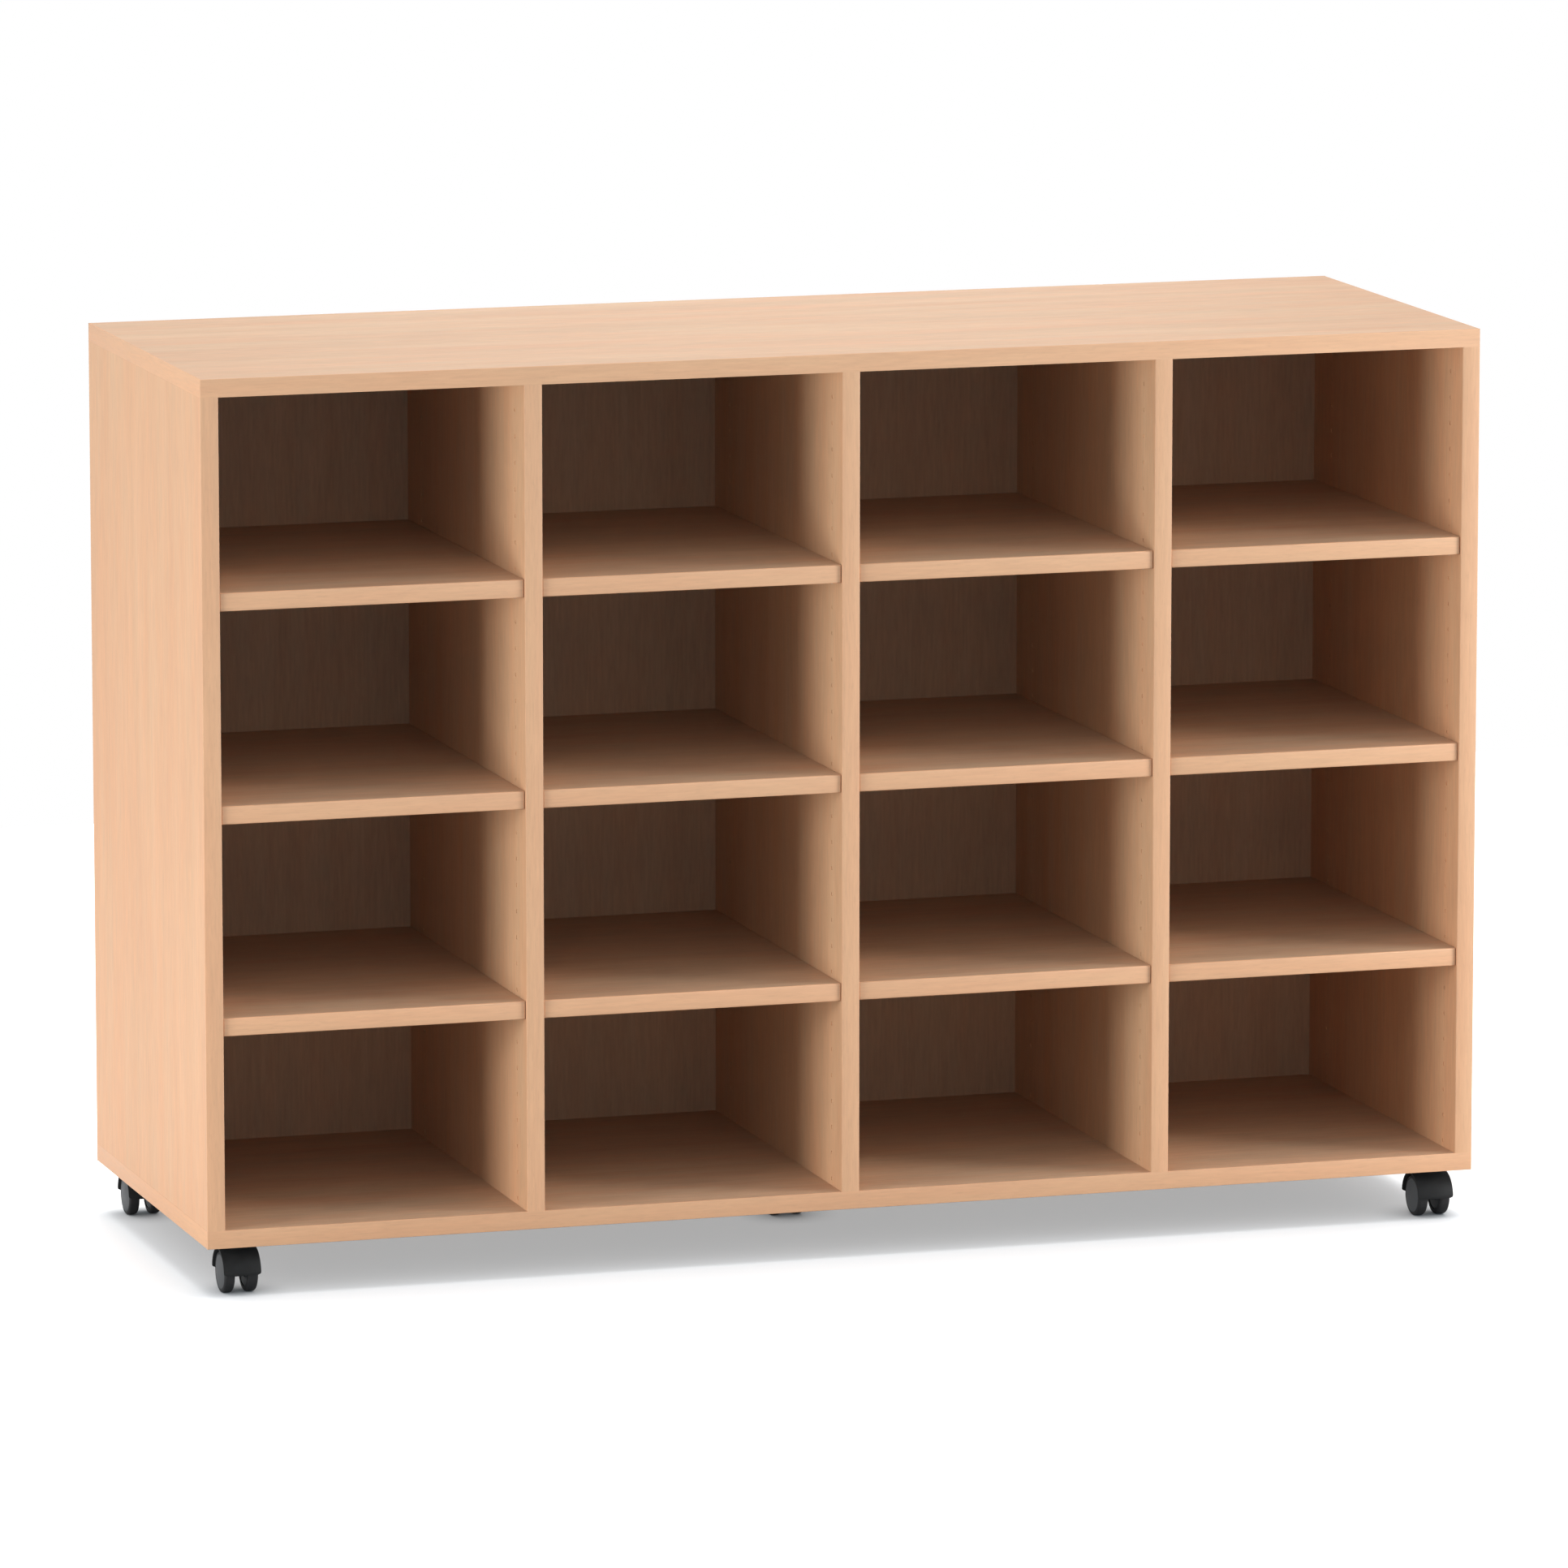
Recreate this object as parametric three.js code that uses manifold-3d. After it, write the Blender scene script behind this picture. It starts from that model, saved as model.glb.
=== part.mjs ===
// Mobile storage unit with 16 open compartments, on five twin-wheel castors.
// Millimetres, +Z up, the open front faces -Y, the origin is on the floor under the middle.
import * as THREE from "three";
import Module from "manifold-3d";

const wasm = await Module();
wasm.setup();
const { Manifold } = wasm;

// Carcass: driving dimensions
const COLUMNS = 4;
const ROWS = 4;
const BOARD = 22;
const CLEAR_WIDTH = 375;
const CARCASS_DEPTH = 557;
const BOTTOM_CLEAR_HEIGHT = 235.2;
const HOLE_PITCH = 32;
const PITCHES_PER_ROW = 8;

// Back board, let into a groove
const BACK_THICK = 8;
const BACK_FROM_REAR = 20;
const GROOVE_DEPTH = 7;
const GROOVE_GAP = 0.3;

// Shelves, loose on their pins
const SHELF_FRONT_SETBACK = 3;
const SHELF_SIDE_GAP = 0.5;
const SHELF_REAR_GAP = 2;
const SHELF_SEAT_GAP = 0.3;

// Shelf pins and the holes they stand in
const PIN_DIAMETER = 5;
const PIN_REACH = 8;
const HOLE_SETBACK = 42;
const REAR_HOLE_SETBACK = 64;
const BLIND_HOLE_DEPTH = 12;
const HOLE_SIDES = 6;
const PIN_SIDES = 8;

// Dowels between the uprights and the top and base
const DOWEL_DIAMETER = 8;
const DOWEL_REACH = 12;
const DOWEL_SETBACK = 90;
const DOWEL_GAP = 0.3;
const DOWEL_END_GAP = 1;
const DOWEL_SIDES = 8;

// Castors
const CASTOR_INSET_X = 44.4;
const CASTOR_INSET_Y = 41;
const TRAIL = 6;
const WHEEL_DIAMETER = 50;
const WHEEL_INNER_FACE = 7.7;
const WHEEL_OUTER_FACE = 20.8;
const WHEEL_DOME = 1.2;
const WHEEL_EDGE = 3;
const WHEEL_SEGMENTS = 24;
const AXLE_DIAMETER = 6;
const AXLE_HALF_LENGTH = 15;
const AXLE_GAP = 0.3;
const HOOD_GAP = 2.5;
const HOOD_WALL = 2;
const HOOD_OVERHANG = 2.3;
const HOOD_CORNER = 3.5;
const HOOD_SIDES = 24;
const WEB_GAP = 1;
const WEB_BOSS_DIAMETER = 14;
const PLATE_SIZE = 50;
const PLATE_THICK = 2.5;
const CUP_DIAMETER = 26;
const CUP_HEIGHT = 2.3;
const STEM_DIAMETER = 9;
const STEM_GAP = 0.35;
const STEM_SEAT = 8;
const COLLAR_DIAMETER = 15;
const SWIVEL_GAP = 0.6;
const COLLAR_RISE = 0.4;
const SCREW_DIAMETER = 8;
const SCREW_HEAD = 2;
const SCREW_FROM_EDGE = 7;
const ROUND_SIDES = 12;

// Derived sizes
const ROW_PITCH = HOLE_PITCH * PITCHES_PER_ROW;
const COLUMN_PITCH = CLEAR_WIDTH + BOARD;
const WIDTH = COLUMNS * COLUMN_PITCH + BOARD;
const FRONT = -CARCASS_DEPTH / 2;
const REAR = CARCASS_DEPTH / 2;
const LEFT = -WIDTH / 2;
const BACK_REAR = REAR - BACK_FROM_REAR;
const BACK_FRONT = BACK_REAR - BACK_THICK;

// Widths of a castor, from its middle
const WEB_HALF_WIDTH = WHEEL_INNER_FACE - WEB_GAP;
const HOOD_HALF_WIDTH = WHEEL_OUTER_FACE + HOOD_OVERHANG;

// Heights of a castor, from the floor up to the base board
const WHEEL_RADIUS = WHEEL_DIAMETER / 2;
const STEM_BOTTOM = WHEEL_RADIUS + STEM_SEAT;
const HOOD_INNER = WHEEL_RADIUS + HOOD_GAP;
const HOOD_OUTER = HOOD_INNER + HOOD_WALL;
const HOOD_TOP = WHEEL_RADIUS + HOOD_OUTER;
const COLLAR_TOP = HOOD_TOP + COLLAR_RISE;
const CUP_UNDER = COLLAR_TOP + SWIVEL_GAP;
const PLATE_UNDER = CUP_UNDER + CUP_HEIGHT;
const CASTOR_HEIGHT = PLATE_UNDER + PLATE_THICK;

// Heights of the carcass
const BASE_TOP = CASTOR_HEIGHT + BOARD;
const TOP_UNDER = BASE_TOP + BOTTOM_CLEAR_HEIGHT + (ROWS - 1) * ROW_PITCH;
const TOP = TOP_UNDER + BOARD;

// A box from its low corner to its high corner
function box(low, high) {
  const size = high.map((value, axis) => value - low[axis]);
  return Manifold.cube(size).translate(low);
}

// A straight prism with its flats square to the axes; width is measured across the flats
function prism(sides, acrossFlats, length) {
  const radius = acrossFlats / 2 / Math.cos(Math.PI / sides);
  return Manifold.cylinder(length, radius, radius, sides).rotate([0, 0, 180 / sides]);
}

// A prism lying along +X from a point
function prismX(sides, acrossFlats, from, length) {
  return prism(sides, acrossFlats, length).rotate([0, 90, 0]).translate(from);
}

// A prism standing along +Z from a point
function prismZ(sides, acrossFlats, from, length) {
  return prism(sides, acrossFlats, length).translate(from);
}

// The heights of the shelf undersides, lowest first
const shelfUnders = Array.from(
  { length: ROWS - 1 },
  (_, row) => BASE_TOP + BOTTOM_CLEAR_HEIGHT + row * ROW_PITCH,
);
const pinHeights = shelfUnders.map((under) => under - SHELF_SEAT_GAP - PIN_DIAMETER / 2);
const pinRows = [FRONT + HOLE_SETBACK, BACK_FRONT - REAR_HOLE_SETBACK];

// The free holes: every pitch of each row but the one that its pin fills
const freeHoleHeights = [];
for (let row = 0; row < ROWS; row++) {
  const start = pinHeights[0] + (row - 1) * ROW_PITCH;
  for (let step = 1; step < PITCHES_PER_ROW; step++) {
    freeHoleHeights.push(start + step * HOLE_PITCH);
  }
}

// The left face of an upright: the sides stand at 0 and COLUMNS, the dividers between
const uprightLeft = (index) => LEFT + index * COLUMN_PITCH;
const dowelRows = [FRONT + DOWEL_SETBACK, BACK_FRONT - DOWEL_SETBACK];

// The groove that takes the back board, cut from the top, base and sides alike
const backHalfWidth = WIDTH / 2 - BOARD + GROOVE_DEPTH;
const groove = box(
  [-backHalfWidth, BACK_FRONT - GROOVE_GAP, BASE_TOP - GROOVE_DEPTH],
  [backHalfWidth, BACK_REAR + GROOVE_GAP, TOP_UNDER + GROOVE_DEPTH],
);
const backBoard = box(
  [-backHalfWidth + GROOVE_GAP, BACK_FRONT, BASE_TOP - GROOVE_DEPTH + GROOVE_GAP],
  [backHalfWidth - GROOVE_GAP, BACK_REAR, TOP_UNDER + GROOVE_DEPTH - GROOVE_GAP],
);

// The dowels of one upright, or the larger holes that they enter
function dowels(index, gap, endGap) {
  const centre = uprightLeft(index) + BOARD / 2;
  const length = DOWEL_REACH + endGap;
  return Manifold.union(
    dowelRows.flatMap((y) => [
      prismZ(DOWEL_SIDES, DOWEL_DIAMETER + 2 * gap, [centre, y, TOP_UNDER], length),
      prismZ(DOWEL_SIDES, DOWEL_DIAMETER + 2 * gap, [centre, y, BASE_TOP - length], length),
    ]),
  );
}

const uprights = Array.from({ length: COLUMNS + 1 }, (_, index) => index);
const dowelHoles = Manifold.union(uprights.map((index) => dowels(index, DOWEL_GAP, DOWEL_END_GAP)));

// The top or base board, between two heights
function flatBoard(low, high) {
  return box([LEFT, FRONT, low], [-LEFT, REAR, high]).subtract(groove).subtract(dowelHoles);
}

// An upright with its shelf holes, pins and dowels
function upright(index) {
  const left = uprightLeft(index);
  const isLeftSide = index === 0;
  const isRightSide = index === COLUMNS;
  const isSide = isLeftSide || isRightSide;
  const rear = isSide ? REAR : BACK_FRONT;
  const plain = box([left, FRONT, BASE_TOP], [left + BOARD, rear, TOP_UNDER]);
  const board = isSide ? plain.subtract(groove) : plain;
  const holeStart = isLeftSide ? left + BOARD - BLIND_HOLE_DEPTH : left;
  const holeLength = isSide ? BLIND_HOLE_DEPTH : BOARD;
  const pinStart = isLeftSide ? left + BOARD / 2 : left - PIN_REACH;
  const pinLength = isSide ? BOARD / 2 + PIN_REACH : BOARD + 2 * PIN_REACH;
  const holes = pinRows.flatMap((y) =>
    freeHoleHeights.map((z) => prismX(HOLE_SIDES, PIN_DIAMETER, [holeStart, y, z], holeLength)),
  );
  const pins = pinRows.flatMap((y) =>
    pinHeights.map((z) => prismX(PIN_SIDES, PIN_DIAMETER, [pinStart, y, z], pinLength)),
  );
  return board
    .subtract(Manifold.union(holes))
    .add(Manifold.union(pins))
    .add(dowels(index, 0, 0));
}

// One shelf, in its column and at its underside
function shelf(column, under) {
  const left = uprightLeft(column) + BOARD + SHELF_SIDE_GAP;
  return box(
    [left, FRONT + SHELF_FRONT_SETBACK, under],
    [left + CLEAR_WIDTH - 2 * SHELF_SIDE_GAP, BACK_FRONT - SHELF_REAR_GAP, under + BOARD],
  );
}

// The mounting plate of a castor with its cup, swivel stem and screw heads; the stem stands at x, y
function castorPlate(x, y) {
  const half = PLATE_SIZE / 2;
  const screwAt = half - SCREW_FROM_EDGE;
  const screws = [-screwAt, screwAt].flatMap((dx) =>
    [-screwAt, screwAt].map((dy) =>
      prismZ(PIN_SIDES, SCREW_DIAMETER, [x + dx, y + dy, PLATE_UNDER - SCREW_HEAD], SCREW_HEAD + 1),
    ),
  );
  return Manifold.union([
    box([x - half, y - half, PLATE_UNDER], [x + half, y + half, CASTOR_HEIGHT]),
    prismZ(ROUND_SIDES, CUP_DIAMETER, [x, y, CUP_UNDER], PLATE_UNDER - CUP_UNDER + 1),
    prismZ(ROUND_SIDES, STEM_DIAMETER, [x, y, STEM_BOTTOM], PLATE_UNDER - STEM_BOTTOM + 1),
    ...screws,
  ]);
}

// A round bar along X through an axle
function barrel(x, y, radius, halfWidth) {
  return prismX(HOOD_SIDES, 2 * radius, [x - halfWidth, y, WHEEL_RADIUS], 2 * halfWidth);
}

// The housing: a hood over both wheels, with its lower corners cut off, a web between the wheels
// and a collar round the stem
function castorHousing(x, y) {
  const axleY = y - TRAIL;
  const low = [x - HOOD_HALF_WIDTH, axleY - HOOD_OUTER, WHEEL_RADIUS];
  const high = [x + HOOD_HALF_WIDTH, axleY + HOOD_OUTER, HOOD_TOP];
  const aboveAxle = Manifold.hull([
    box([low[0] + HOOD_CORNER, low[1], low[2]], [high[0] - HOOD_CORNER, high[1], high[2]]),
    box([low[0], low[1], low[2] + HOOD_CORNER], high),
  ]);
  const hood = barrel(x, axleY, HOOD_OUTER, HOOD_HALF_WIDTH)
    .subtract(barrel(x, axleY, HOOD_INNER, HOOD_HALF_WIDTH + 1))
    .intersect(aboveAxle);
  const web = barrel(x, axleY, HOOD_OUTER, WEB_HALF_WIDTH).intersect(aboveAxle);
  const boss = prismX(
    ROUND_SIDES,
    WEB_BOSS_DIAMETER,
    [x - WEB_HALF_WIDTH, axleY, WHEEL_RADIUS],
    2 * WEB_HALF_WIDTH,
  );
  const collarFrom = WHEEL_RADIUS + HOOD_INNER / 2;
  const collar = prismZ(ROUND_SIDES, COLLAR_DIAMETER, [x, y, collarFrom], COLLAR_TOP - collarFrom).intersect(
    box(
      [x - WEB_HALF_WIDTH, y - COLLAR_DIAMETER, collarFrom],
      [x + WEB_HALF_WIDTH, y + COLLAR_DIAMETER, COLLAR_TOP],
    ),
  );
  const stemHoleLow = STEM_BOTTOM - SWIVEL_GAP;
  const stemHole = prismZ(
    ROUND_SIDES,
    STEM_DIAMETER + 2 * STEM_GAP,
    [x, y, stemHoleLow],
    CASTOR_HEIGHT - stemHoleLow,
  );
  const axleHole = prismX(
    ROUND_SIDES,
    AXLE_DIAMETER + 2 * AXLE_GAP,
    [x - HOOD_HALF_WIDTH, axleY, WHEEL_RADIUS],
    2 * HOOD_HALF_WIDTH,
  );
  return Manifold.union([hood, web, boss, collar]).subtract(stemHole).subtract(axleHole);
}

// The axle, loose in the web and in both wheels
function castorAxle(x, y) {
  return prismX(
    ROUND_SIDES,
    AXLE_DIAMETER,
    [x - AXLE_HALF_LENGTH, y - TRAIL, WHEEL_RADIUS],
    2 * AXLE_HALF_LENGTH,
  );
}

// A wheel turned about X: domed outer face, rounded tread, blind hub bore; outward is +1 or -1.
// Its radii are measured to the flats, and it stands on one of them.
function wheelGeometry(outward) {
  const toCorner = 1 / Math.cos(Math.PI / WHEEL_SEGMENTS);
  const bore = AXLE_DIAMETER / 2 + AXLE_GAP;
  const boreEnd = AXLE_HALF_LENGTH + AXLE_GAP;
  const soft = WHEEL_EDGE * (1 - Math.SQRT1_2);
  const profile = [
    [0, boreEnd],
    [bore, boreEnd],
    [bore, WHEEL_INNER_FACE],
    [WHEEL_RADIUS - WHEEL_EDGE, WHEEL_INNER_FACE],
    [WHEEL_RADIUS - soft, WHEEL_INNER_FACE + soft],
    [WHEEL_RADIUS, WHEEL_INNER_FACE + WHEEL_EDGE],
    [WHEEL_RADIUS, WHEEL_OUTER_FACE - WHEEL_EDGE],
    [WHEEL_RADIUS - soft, WHEEL_OUTER_FACE - soft],
    [WHEEL_RADIUS - WHEEL_EDGE, WHEEL_OUTER_FACE],
    [0, WHEEL_OUTER_FACE + WHEEL_DOME],
  ].map(([radius, along]) => new THREE.Vector2(radius * toCorner, along));
  const turned = new THREE.LatheGeometry(profile, WHEEL_SEGMENTS, Math.PI / WHEEL_SEGMENTS);
  return turned.rotateZ((-outward * Math.PI) / 2);
}

// A three.js geometry from a boolean solid
function geometryOf(solid) {
  const mesh = solid.getMesh();
  const points = new Float32Array(mesh.numVert * 3);
  for (let i = 0; i < mesh.numVert; i++) {
    points.set(mesh.vertProperties.subarray(i * mesh.numProp, i * mesh.numProp + 3), i * 3);
  }
  return new THREE.BufferGeometry()
    .setAttribute("position", new THREE.BufferAttribute(points, 3))
    .setIndex(new THREE.BufferAttribute(mesh.triVerts, 1));
}

const part = new THREE.Group();
part.name = "tray_storage_unit";

// Each piece has its own material, tinted as the real one
const BEECH = 0xdcb48c;
const BLACK_PLASTIC = 0x2a2a2c;
const GREY_PLASTIC = 0x55565a;
const STEEL = 0x9a9da1;

function addPiece(name, geometry, colour, roughness, metalness = 0) {
  const flat = geometry.index ? geometry.toNonIndexed() : geometry;
  flat.computeVertexNormals();
  const mesh = new THREE.Mesh(flat, new THREE.MeshStandardMaterial({ color: colour, roughness, metalness }));
  mesh.name = name;
  part.add(mesh);
  return mesh;
}

const addBoard = (name, solid) => addPiece(name, geometryOf(solid), BEECH, 0.55);

addBoard("top_panel", flatBoard(TOP_UNDER, TOP));
addBoard("base_panel", flatBoard(CASTOR_HEIGHT, BASE_TOP));
addBoard("back_panel", backBoard);
const uprightName = (index) => {
  if (index === 0) return "side_panel_left";
  if (index === COLUMNS) return "side_panel_right";
  return `divider_${index}`;
};
for (const index of uprights) {
  addBoard(uprightName(index), upright(index));
}
for (let column = 0; column < COLUMNS; column++) {
  shelfUnders.forEach((under, level) => {
    addBoard(`shelf_column${column + 1}_level${level + 1}`, shelf(column, under));
  });
}

// The five castors: one near each corner and one under the middle
const stemX = WIDTH / 2 - CASTOR_INSET_X;
const stemY = CARCASS_DEPTH / 2 - CASTOR_INSET_Y;
const castors = {
  front_left: [-stemX, -stemY],
  front_right: [stemX, -stemY],
  rear_left: [-stemX, stemY],
  rear_right: [stemX, stemY],
  centre: [0, 0],
};
for (const [place, [x, y]] of Object.entries(castors)) {
  const name = `castor_${place}`;
  addPiece(`${name}_plate`, geometryOf(castorPlate(x, y)), STEEL, 0.35, 1);
  addPiece(`${name}_housing`, geometryOf(castorHousing(x, y)), BLACK_PLASTIC, 0.5);
  addPiece(`${name}_axle`, geometryOf(castorAxle(x, y)), STEEL, 0.35, 1);
  for (const [side, outward] of [["left", -1], ["right", 1]]) {
    const wheel = addPiece(`${name}_wheel_${side}`, wheelGeometry(outward), GREY_PLASTIC, 0.6);
    wheel.position.set(x, y - TRAIL, WHEEL_RADIUS);
  }
}

export default part;
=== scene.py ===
import math

import bmesh
import bpy
from mathutils import Matrix, Vector


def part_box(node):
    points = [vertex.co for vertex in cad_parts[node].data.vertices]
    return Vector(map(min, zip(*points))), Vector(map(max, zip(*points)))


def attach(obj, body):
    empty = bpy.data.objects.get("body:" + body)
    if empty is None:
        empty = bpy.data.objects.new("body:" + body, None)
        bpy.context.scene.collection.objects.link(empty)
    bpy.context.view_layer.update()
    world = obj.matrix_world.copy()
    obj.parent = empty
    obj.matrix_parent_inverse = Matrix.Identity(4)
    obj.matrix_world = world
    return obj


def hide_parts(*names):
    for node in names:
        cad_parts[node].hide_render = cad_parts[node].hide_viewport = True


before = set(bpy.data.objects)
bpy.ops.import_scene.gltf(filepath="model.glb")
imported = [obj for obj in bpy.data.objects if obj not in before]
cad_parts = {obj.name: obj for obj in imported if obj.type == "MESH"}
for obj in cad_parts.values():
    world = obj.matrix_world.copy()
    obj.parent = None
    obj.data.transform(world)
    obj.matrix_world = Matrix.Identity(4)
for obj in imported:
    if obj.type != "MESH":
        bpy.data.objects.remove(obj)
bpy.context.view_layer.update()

# Sizes in metres, the same as the solids where both have them
BOARD = 0.022
BAND = 0.002
BAND_ROUND = 0.0008
SHELF_BAND_ROUND = 0.0017
CORE_ROUND = 0.0002
HOLE_DIAMETER = 0.005
HOLE_PITCH = 0.032
PITCHES_PER_ROW = 8
HOLE_SETBACK = 0.042
REAR_HOLE_SETBACK = 0.064
CAP_RECESS = 0.0008
CUTTER_SPARE = 0.001
SHELF_SEAT_GAP = 0.0003
PIN_REACH = 0.008
PIN_ROOT = 0.006
PIN_NOSE = 0.0008
PIN_FIT_GAP = 0.0001
PIN_TAPER = 0.0003
PIN_TAPER_LENGTH = 0.0006
FLANGE_RADIUS = 0.00375
FLANGE_THICK = 0.0008
FLANGE_ROUND = 0.0002
PIN_SEGMENTS = 20
PIN_NOSE_STEPS = 4

# Castor sizes
WHEEL_RADIUS = 0.025
WHEEL_INNER_FACE = 0.0077
WHEEL_OUTER_FACE = 0.0208
WHEEL_DOME = 0.0012
WHEEL_EDGE = 0.003
WHEEL_EDGE_STEPS = 8
TRAIL = 0.006
HOOD_INNER = 0.0275
HOOD_OUTER = 0.0295
HOOD_HALF_WIDTH = 0.0231
HOOD_CORNER = 0.0035
WEB_HALF_WIDTH = 0.0067
WEB_BOSS_RADIUS = 0.007
WEB_STEPS = 48
HOOD_SOFT = 0.0004
HOOD_SOFT_SHARE = 0.3
HOOD_STEPS = 72
DISC_RADIUS = 0.0212
DISC_RECESS = 0.0005
DISC_GAP = 0.0001
DISC_ARRIS = 0.0003
DISC_ARRIS_DEPTH = 0.0001
DISC_EDGE_DEPTH = 0.0022
TYRE_BORE = 0.0190
TYRE_LIP = 0.0005
TYRE_LIP_DEPTH = 0.0015
TYRE_SEAT_STEP = 0.0003
TYRE_SEAT_DEPTH = 0.0025
HUB_BORE = 0.0033
HUB_BORE_DEPTH = 0.0076
HUB_RADIUS = 0.0075
HUB_ROUND = 0.0004
HUB_ARRIS = 0.0003
HUB_FOOT = 0.0007
DISH_RADIUS = 0.0180
DISH_EDGE_RADIUS = 0.0186
DISH_EDGE_DEPTH = 0.0012
INNER_DISH = 0.0008
WHEEL_SEGMENTS = 72
PLATE_THICK = 0.0025
PLATE_CORNER = 0.005
PLATE_ARRIS = 0.0006
CUP_GAP = 0.0006
CUP_RADII = (0.0138, 0.0134, 0.0126, 0.0118)
CUP_EDGE = 0.0008
CUP_SEGMENTS = 48
STEM_RADIUS = 0.0045
STEM_SEAT = 0.008
STEM_ROUND = 0.0008
COLLAR_BORE = 0.0049
COLLAR_RADIUS = 0.0067
COLLAR_DEPTH = 0.006
COLLAR_ARRIS = 0.0005
COLLAR_ARRIS_DEPTH = 0.0006
COLLAR_TAPER = 0.0001
COLLAR_SEGMENTS = 40
AXLE_RADIUS = 0.003
AXLE_CHAMFER = 0.0004
ROD_SEGMENTS = 32
SCREW_INSET = 0.007
SCREW_SEGMENTS = 24

# How far joined forms run into each other, and the distance below which two places are one
SINK = 0.0005
SAME_PLACE = 1e-6

# Edges sharper than these, in degrees, stay crisp in the shading
BAND_CRISP = 40.0
METAL_CRISP = 35.0
HOOD_CRISP = 38.0
WHEEL_CRISP = 32.0

# The dome of a disc: radius, share of the dome's height
DOME_POINTS = [(0.0190, 0.10), (0.0160, 0.40), (0.0120, 0.65), (0.0080, 0.85), (0.0040, 0.96), (0.0, 1.0)]

# A pan-head screw: radius, depth under the plate
SCREW_POINTS = [
    (0.0, -SINK), (0.0040, -0.0003), (0.0040, 0.0004), (0.0036, 0.0013),
    (0.0027, 0.0018), (0.0016, 0.0020), (0.0013, 0.0010), (0.0, 0.0006),
]

COLUMNS = 4
LEVELS = 3
CASTORS = ("front_left", "front_right", "rear_left", "rear_right", "centre")
UPRIGHTS = ("side_panel_left", "divider_1", "divider_2", "divider_3", "side_panel_right")


# Node helpers for procedural materials

class NodeTree:
    """A short way to add and join shader nodes."""

    def __init__(self, owner):
        owner.use_nodes = True
        self.tree = owner.node_tree
        self.tree.nodes.clear()

    def add(self, kind, settings=None, **inputs):
        node = self.tree.nodes.new(kind)
        for key, value in (settings or {}).items():
            setattr(node, key, value)
        for key, value in inputs.items():
            self.put(node, key.replace("_", " "), value)
        return node

    def put(self, node, socket, value):
        target = node.inputs[int(socket)] if socket.isdigit() else node.inputs[socket]
        if isinstance(value, bpy.types.NodeSocket):
            self.tree.links.new(value, target)
        else:
            target.default_value = value

    def math(self, operation, first, second=0.0):
        node = self.add("ShaderNodeMath", {"operation": operation})
        self.put(node, "0", first)
        self.put(node, "1", second)
        return node.outputs[0]

    def vector(self, operation, first, second):
        node = self.add("ShaderNodeVectorMath", {"operation": operation})
        self.put(node, "0", first)
        self.put(node, "1", second)
        return node.outputs[0]

    def ramp(self, factor, *stops):
        node = self.add("ShaderNodeValToRGB")
        elements = node.color_ramp.elements
        while len(elements) < len(stops):
            elements.new(0.5)
        for element, (place, colour) in zip(elements, stops):
            element.position = place
            element.color = (*colour, 1.0)
        self.put(node, "Fac", factor)
        return node.outputs["Color"]

    def mix(self, factor, first, second, blend="MIX"):
        node = self.add("ShaderNodeMix", {"data_type": "RGBA", "blend_type": blend})
        self.put(node, "0", factor)
        self.put(node, "6", first)
        self.put(node, "7", second)
        return node.outputs[2]

    def noise(self, coords, scale, detail=2.0, roughness=0.5):
        node = self.add("ShaderNodeTexNoise", Scale=scale, Detail=detail, Roughness=roughness)
        self.put(node, "Vector", coords)
        return node.outputs["Fac"]

    def rough_between(self, noise, low, high):
        """A roughness that follows a noise from low to high."""
        node = self.add("ShaderNodeMapRange", From_Min=0.3, From_Max=0.7, To_Min=low, To_Max=high)
        self.put(node, "Value", noise)
        return node.outputs[0]

    def bump(self, height, strength, distance):
        node = self.add("ShaderNodeBump", Strength=strength, Distance=distance)
        self.put(node, "Height", height)
        return node.outputs[0]

    def surface(self, colour, roughness, normal=None, specular=0.5, metallic=0.0):
        """The shader and the output of a material."""
        shader = self.add("ShaderNodeBsdfPrincipled", Metallic=metallic)
        shader.inputs["Specular IOR Level"].default_value = specular
        self.put(shader, "Base Color", colour)
        self.put(shader, "Roughness", roughness)
        if normal is not None:
            self.put(shader, "Normal", normal)
        output = self.add("ShaderNodeOutputMaterial")
        self.put(output, "Surface", shader.outputs[0])

    def choose(self, factor, first, second):
        """The first shader where the factor is 0 and the second where it is 1."""
        node = self.add("ShaderNodeMixShader")
        self.put(node, "0", factor)
        self.put(node, "1", first)
        self.put(node, "2", second)
        return node.outputs[0]

    def seen_directly(self):
        """1 where the camera sees a thing straight, in a reflection or through glass, otherwise 0."""
        path = self.add("ShaderNodeLightPath").outputs
        seen = self.math("MAXIMUM", path["Is Camera Ray"], path["Is Glossy Ray"])
        return self.math("MAXIMUM", seen, path["Is Transmission Ray"])


BEECH_STRAW = (0.606, 0.378, 0.216)
BEECH_PINK = (0.620, 0.330, 0.176)
BEECH_DARK = (0.440, 0.250, 0.140)
BOARD_COLOURS = (BEECH_STRAW, BEECH_PINK)
# Copies of the beech colours for single kinds of board, tuned to the light on each: the top is bluer as a
# painted neutral sheen, the shelves and the base are darker and less red as painted shade inside the
# compartments, and the sides are a little pinker to offset the cool light on them
TOP_SHEEN_COLOURS = ((0.606, 0.382, 0.230), (0.620, 0.334, 0.188))
SHELF_SHADE_COLOURS = ((0.521, 0.340, 0.214), (0.533, 0.297, 0.174))
SIDE_COLOURS = ((0.606, 0.367, 0.204), (0.620, 0.320, 0.167))
EDGE_COLOURS = ((0.636, 0.370, 0.204), (0.652, 0.338, 0.182))

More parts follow.
